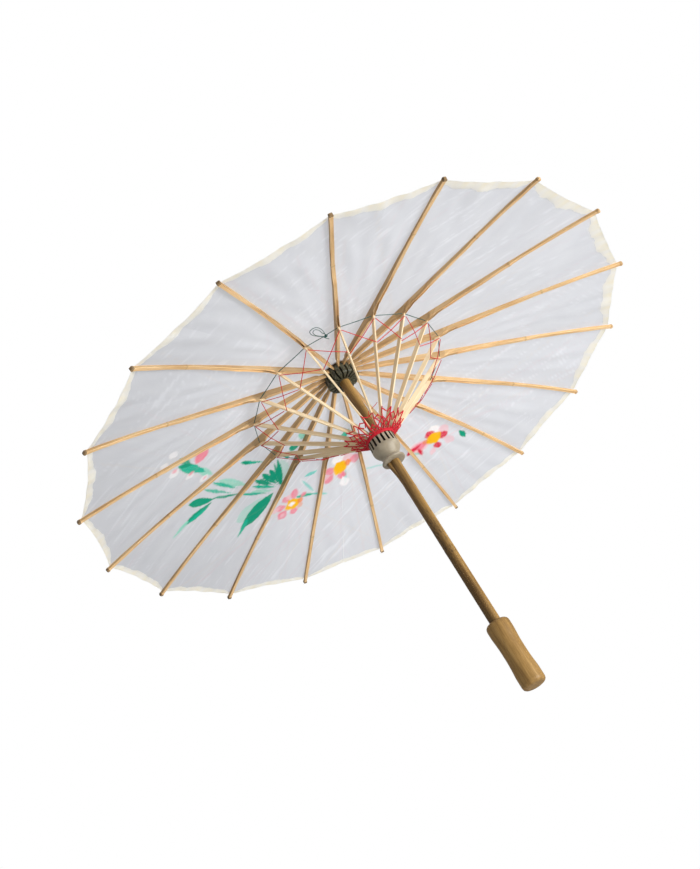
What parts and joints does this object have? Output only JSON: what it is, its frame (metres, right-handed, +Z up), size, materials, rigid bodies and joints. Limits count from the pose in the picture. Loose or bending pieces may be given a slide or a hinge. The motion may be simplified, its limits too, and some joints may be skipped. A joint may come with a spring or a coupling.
{
  "type": "parasol",
  "caption": "Open hand-held parasol: painted cloth on split-bamboo ribs, with stretchers, a sliding runner held by a spring catch, thread lacing and a turned handle.",
  "frame": {"origin": "centre of the bottom face of the handle", "axes": "+Z up the shaft towards the cap, +X along rib 01, ribs numbered counter-clockwise seen from above"},
  "size_m": [0.83, 0.8182, 0.557],
  "materials": {
    "shaft_wood": "varnished bamboo, golden brown with darker streaks",
    "turned_wood": "light turned wood, satin",
    "black_notch": "stained nearly black, satin",
    "ivory_wood": "cream paint or pale wood, satin",
    "bamboo": "split bamboo, satin",
    "pale_bamboo": "pale split bamboo, satin",
    "wire": "plain steel wire and sheet",
    "cloth": "thin translucent white cloth, painted",
    "hem_cloth": "pale yellow turned hem",
    "red_thread": "twisted cotton",
    "green_thread": "dark green twisted thread"
  },
  "bodies": {
    "frame": {"shaft": "shaft_wood", "handle": "turned_wood", "top_notch": "black_notch", "notch_wire": "wire", "crown_cap": "turned_wood", "stop_pin": "wire", "catch_pin": "wire", "canopy": "cloth", "canopy_hem": "hem_cloth", "joint_thread": "green_thread", "thread_loop": "green_thread", "red_lace": "red_thread"},
    "runner": {"runner": "ivory_wood", "runner_wire": "wire", "red_band": "red_thread", "red_net": "red_thread", "red_tail": "red_thread"},
    "catch": {"spring_catch": "shaft_wood"},
    "rib_01": {"rib_01": "bamboo"},
    "rib_02": {"rib_02": "bamboo"},
    "rib_03": {"rib_03": "bamboo"},
    "rib_04": {"rib_04": "bamboo"},
    "rib_05": {"rib_05": "bamboo"},
    "rib_06": {"rib_06": "bamboo"},
    "rib_07": {"rib_07": "bamboo"},
    "rib_08": {"rib_08": "bamboo"},
    "rib_09": {"rib_09": "bamboo"},
    "rib_10": {"rib_10": "bamboo"},
    "rib_11": {"rib_11": "bamboo"},
    "rib_12": {"rib_12": "bamboo"},
    "rib_13": {"rib_13": "bamboo"},
    "rib_14": {"rib_14": "bamboo"},
    "rib_15": {"rib_15": "bamboo"},
    "rib_16": {"rib_16": "bamboo"},
    "rib_17": {"rib_17": "bamboo"},
    "rib_18": {"rib_18": "bamboo"},
    "stretcher_01": {"stretcher_01": "pale_bamboo"},
    "stretcher_02": {"stretcher_02": "pale_bamboo"},
    "stretcher_03": {"stretcher_03": "pale_bamboo"},
    "stretcher_04": {"stretcher_04": "pale_bamboo"},
    "stretcher_05": {"stretcher_05": "pale_bamboo"},
    "stretcher_06": {"stretcher_06": "pale_bamboo"},
    "stretcher_07": {"stretcher_07": "pale_bamboo"},
    "stretcher_08": {"stretcher_08": "pale_bamboo"},
    "stretcher_09": {"stretcher_09": "pale_bamboo"},
    "stretcher_10": {"stretcher_10": "pale_bamboo"},
    "stretcher_11": {"stretcher_11": "pale_bamboo"},
    "stretcher_12": {"stretcher_12": "pale_bamboo"},
    "stretcher_13": {"stretcher_13": "pale_bamboo"},
    "stretcher_14": {"stretcher_14": "pale_bamboo"},
    "stretcher_15": {"stretcher_15": "pale_bamboo"},
    "stretcher_16": {"stretcher_16": "pale_bamboo"},
    "stretcher_17": {"stretcher_17": "pale_bamboo"},
    "stretcher_18": {"stretcher_18": "pale_bamboo"}
  },
  "joints": [
    {"name": "runner_slide", "type": "slide", "parent": "frame", "child": "runner", "axis": [0, 0, -1], "range_m": [0, 0.16659], "deforming": ["canopy", "canopy_hem", "joint_thread", "thread_loop", "red_lace", "red_net", "red_tail", "runner_wire", "spring_catch"]},
    {"name": "rib_fold_01", "type": "hinge", "parent": "frame", "child": "rib_01", "pos_m": [0.0195, 0, 0.5235], "axis": [0, 1, 0], "range_deg": [0, 78.51]},
    {"name": "stretcher_fold_01", "type": "hinge", "parent": "rib_01", "child": "stretcher_01", "pos_m": [0.14558, 0, 0.49315], "axis": [0, 1, 0], "range_deg": [-133.03, 0]},
    {"name": "rib_fold_02", "type": "hinge", "parent": "frame", "child": "rib_02", "pos_m": [0.01832, 0.00667, 0.5235], "axis": [-0.342, 0.9397, 0], "range_deg": [0, 78.51]},
    {"name": "stretcher_fold_02", "type": "hinge", "parent": "rib_02", "child": "stretcher_02", "pos_m": [0.1368, 0.04979, 0.49315], "axis": [-0.342, 0.9397, 0], "range_deg": [-133.03, 0]},
    {"name": "rib_fold_03", "type": "hinge", "parent": "frame", "child": "rib_03", "pos_m": [0.01494, 0.01253, 0.5235], "axis": [-0.6428, 0.766, 0], "range_deg": [0, 78.51]},
    {"name": "stretcher_fold_03", "type": "hinge", "parent": "rib_03", "child": "stretcher_03", "pos_m": [0.11152, 0.09358, 0.49315], "axis": [-0.6428, 0.766, 0], "range_deg": [-133.03, 0]},
    {"name": "rib_fold_04", "type": "hinge", "parent": "frame", "child": "rib_04", "pos_m": [0.00975, 0.01689, 0.5235], "axis": [-0.866, 0.5, 0], "range_deg": [0, 78.51]},
    {"name": "stretcher_fold_04", "type": "hinge", "parent": "rib_04", "child": "stretcher_04", "pos_m": [0.07279, 0.12608, 0.49315], "axis": [-0.866, 0.5, 0], "range_deg": [-133.03, 0]},
    {"name": "rib_fold_05", "type": "hinge", "parent": "frame", "child": "rib_05", "pos_m": [0.00339, 0.0192, 0.5235], "axis": [-0.9848, 0.1736, 0], "range_deg": [0, 78.51]},
    {"name": "stretcher_fold_05", "type": "hinge", "parent": "rib_05", "child": "stretcher_05", "pos_m": [0.02528, 0.14337, 0.49315], "axis": [-0.9848, 0.1736, 0], "range_deg": [-133.03, 0]},
    {"name": "rib_fold_06", "type": "hinge", "parent": "frame", "child": "rib_06", "pos_m": [-0.00339, 0.0192, 0.5235], "axis": [-0.9848, -0.1736, 0], "range_deg": [0, 78.51]},
    {"name": "stretcher_fold_06", "type": "hinge", "parent": "rib_06", "child": "stretcher_06", "pos_m": [-0.02528, 0.14337, 0.49315], "axis": [-0.9848, -0.1736, 0], "range_deg": [-133.03, 0]},
    {"name": "rib_fold_07", "type": "hinge", "parent": "frame", "child": "rib_07", "pos_m": [-0.00975, 0.01689, 0.5235], "axis": [-0.866, -0.5, 0], "range_deg": [0, 78.51]},
    {"name": "stretcher_fold_07", "type": "hinge", "parent": "rib_07", "child": "stretcher_07", "pos_m": [-0.07279, 0.12608, 0.49315], "axis": [-0.866, -0.5, 0], "range_deg": [-133.03, 0]},
    {"name": "rib_fold_08", "type": "hinge", "parent": "frame", "child": "rib_08", "pos_m": [-0.01494, 0.01253, 0.5235], "axis": [-0.6428, -0.766, 0], "range_deg": [0, 78.51]},
    {"name": "stretcher_fold_08", "type": "hinge", "parent": "rib_08", "child": "stretcher_08", "pos_m": [-0.11152, 0.09358, 0.49315], "axis": [-0.6428, -0.766, 0], "range_deg": [-133.03, 0]},
    {"name": "rib_fold_09", "type": "hinge", "parent": "frame", "child": "rib_09", "pos_m": [-0.01832, 0.00667, 0.5235], "axis": [-0.342, -0.9397, 0], "range_deg": [0, 78.51]},
    {"name": "stretcher_fold_09", "type": "hinge", "parent": "rib_09", "child": "stretcher_09", "pos_m": [-0.1368, 0.04979, 0.49315], "axis": [-0.342, -0.9397, 0], "range_deg": [-133.03, 0]},
    {"name": "rib_fold_10", "type": "hinge", "parent": "frame", "child": "rib_10", "pos_m": [-0.0195, 0, 0.5235], "axis": [0, -1, 0], "range_deg": [0, 78.51]},
    {"name": "stretcher_fold_10", "type": "hinge", "parent": "rib_10", "child": "stretcher_10", "pos_m": [-0.14558, 0, 0.49315], "axis": [0, -1, 0], "range_deg": [-133.03, 0]},
    {"name": "rib_fold_11", "type": "hinge", "parent": "frame", "child": "rib_11", "pos_m": [-0.01832, -0.00667, 0.5235], "axis": [0.342, -0.9397, 0], "range_deg": [0, 78.51]},
    {"name": "stretcher_fold_11", "type": "hinge", "parent": "rib_11", "child": "stretcher_11", "pos_m": [-0.1368, -0.04979, 0.49315], "axis": [0.342, -0.9397, 0], "range_deg": [-133.03, 0]},
    {"name": "rib_fold_12", "type": "hinge", "parent": "frame", "child": "rib_12", "pos_m": [-0.01494, -0.01253, 0.5235], "axis": [0.6428, -0.766, 0], "range_deg": [0, 78.51]},
    {"name": "stretcher_fold_12", "type": "hinge", "parent": "rib_12", "child": "stretcher_12", "pos_m": [-0.11152, -0.09358, 0.49315], "axis": [0.6428, -0.766, 0], "range_deg": [-133.03, 0]},
    {"name": "rib_fold_13", "type": "hinge", "parent": "frame", "child": "rib_13", "pos_m": [-0.00975, -0.01689, 0.5235], "axis": [0.866, -0.5, 0], "range_deg": [0, 78.51]},
    {"name": "stretcher_fold_13", "type": "hinge", "parent": "rib_13", "child": "stretcher_13", "pos_m": [-0.07279, -0.12608, 0.49315], "axis": [0.866, -0.5, 0], "range_deg": [-133.03, 0]},
    {"name": "rib_fold_14", "type": "hinge", "parent": "frame", "child": "rib_14", "pos_m": [-0.00339, -0.0192, 0.5235], "axis": [0.9848, -0.1736, 0], "range_deg": [0, 78.51]},
    {"name": "stretcher_fold_14", "type": "hinge", "parent": "rib_14", "child": "stretcher_14", "pos_m": [-0.02528, -0.14337, 0.49315], "axis": [0.9848, -0.1736, 0], "range_deg": [-133.03, 0]},
    {"name": "rib_fold_15", "type": "hinge", "parent": "frame", "child": "rib_15", "pos_m": [0.00339, -0.0192, 0.5235], "axis": [0.9848, 0.1736, 0], "range_deg": [0, 78.51]},
    {"name": "stretcher_fold_15", "type": "hinge", "parent": "rib_15", "child": "stretcher_15", "pos_m": [0.02528, -0.14337, 0.49315], "axis": [0.9848, 0.1736, 0], "range_deg": [-133.03, 0]},
    {"name": "rib_fold_16", "type": "hinge", "parent": "frame", "child": "rib_16", "pos_m": [0.00975, -0.01689, 0.5235], "axis": [0.866, 0.5, 0], "range_deg": [0, 78.51]},
    {"name": "stretcher_fold_16", "type": "hinge", "parent": "rib_16", "child": "stretcher_16", "pos_m": [0.07279, -0.12608, 0.49315], "axis": [0.866, 0.5, 0], "range_deg": [-133.03, 0]},
    {"name": "rib_fold_17", "type": "hinge", "parent": "frame", "child": "rib_17", "pos_m": [0.01494, -0.01253, 0.5235], "axis": [0.6428, 0.766, 0], "range_deg": [0, 78.51]},
    {"name": "stretcher_fold_17", "type": "hinge", "parent": "rib_17", "child": "stretcher_17", "pos_m": [0.11152, -0.09358, 0.49315], "axis": [0.6428, 0.766, 0], "range_deg": [-133.03, 0]},
    {"name": "rib_fold_18", "type": "hinge", "parent": "frame", "child": "rib_18", "pos_m": [0.01832, -0.00667, 0.5235], "axis": [0.342, 0.9397, 0], "range_deg": [0, 78.51]},
    {"name": "stretcher_fold_18", "type": "hinge", "parent": "rib_18", "child": "stretcher_18", "pos_m": [0.1368, -0.04979, 0.49315], "axis": [0.342, 0.9397, 0], "range_deg": [-133.03, 0]},
    {"name": "catch_press", "type": "hinge", "parent": "frame", "child": "catch", "pos_m": [0.00063, 0.00354, 0.324], "axis": [0.9848, -0.1736, 0], "range_deg": [0, 8.5], "stiffness_Nm_per_rad": 0.3, "springref_deg": -2.86}
  ],
  "couplings": [
    {"joint": "rib_fold_01", "follows": "runner_slide", "rad_per_m": 8.2245},
    {"joint": "stretcher_fold_01", "follows": "runner_slide", "rad_per_m": -13.936},
    {"joint": "rib_fold_02", "follows": "runner_slide", "rad_per_m": 8.2245},
    {"joint": "stretcher_fold_02", "follows": "runner_slide", "rad_per_m": -13.936},
    {"joint": "rib_fold_03", "follows": "runner_slide", "rad_per_m": 8.2245},
    {"joint": "stretcher_fold_03", "follows": "runner_slide", "rad_per_m": -13.936},
    {"joint": "rib_fold_04", "follows": "runner_slide", "rad_per_m": 8.2245},
    {"joint": "stretcher_fold_04", "follows": "runner_slide", "rad_per_m": -13.936},
    {"joint": "rib_fold_05", "follows": "runner_slide", "rad_per_m": 8.2245},
    {"joint": "stretcher_fold_05", "follows": "runner_slide", "rad_per_m": -13.936},
    {"joint": "rib_fold_06", "follows": "runner_slide", "rad_per_m": 8.2245},
    {"joint": "stretcher_fold_06", "follows": "runner_slide", "rad_per_m": -13.936},
    {"joint": "rib_fold_07", "follows": "runner_slide", "rad_per_m": 8.2245},
    {"joint": "stretcher_fold_07", "follows": "runner_slide", "rad_per_m": -13.936},
    {"joint": "rib_fold_08", "follows": "runner_slide", "rad_per_m": 8.2245},
    {"joint": "stretcher_fold_08", "follows": "runner_slide", "rad_per_m": -13.936},
    {"joint": "rib_fold_09", "follows": "runner_slide", "rad_per_m": 8.2245},
    {"joint": "stretcher_fold_09", "follows": "runner_slide", "rad_per_m": -13.936},
    {"joint": "rib_fold_10", "follows": "runner_slide", "rad_per_m": 8.2245},
    {"joint": "stretcher_fold_10", "follows": "runner_slide", "rad_per_m": -13.936},
    {"joint": "rib_fold_11", "follows": "runner_slide", "rad_per_m": 8.2245},
    {"joint": "stretcher_fold_11", "follows": "runner_slide", "rad_per_m": -13.936},
    {"joint": "rib_fold_12", "follows": "runner_slide", "rad_per_m": 8.2245},
    {"joint": "stretcher_fold_12", "follows": "runner_slide", "rad_per_m": -13.936},
    {"joint": "rib_fold_13", "follows": "runner_slide", "rad_per_m": 8.2245},
    {"joint": "stretcher_fold_13", "follows": "runner_slide", "rad_per_m": -13.936},
    {"joint": "rib_fold_14", "follows": "runner_slide", "rad_per_m": 8.2245},
    {"joint": "stretcher_fold_14", "follows": "runner_slide", "rad_per_m": -13.936},
    {"joint": "rib_fold_15", "follows": "runner_slide", "rad_per_m": 8.2245},
    {"joint": "stretcher_fold_15", "follows": "runner_slide", "rad_per_m": -13.936},
    {"joint": "rib_fold_16", "follows": "runner_slide", "rad_per_m": 8.2245},
    {"joint": "stretcher_fold_16", "follows": "runner_slide", "rad_per_m": -13.936},
    {"joint": "rib_fold_17", "follows": "runner_slide", "rad_per_m": 8.2245},
    {"joint": "stretcher_fold_17", "follows": "runner_slide", "rad_per_m": -13.936},
    {"joint": "rib_fold_18", "follows": "runner_slide", "rad_per_m": 8.2245},
    {"joint": "stretcher_fold_18", "follows": "runner_slide", "rad_per_m": -13.936}
  ]
}
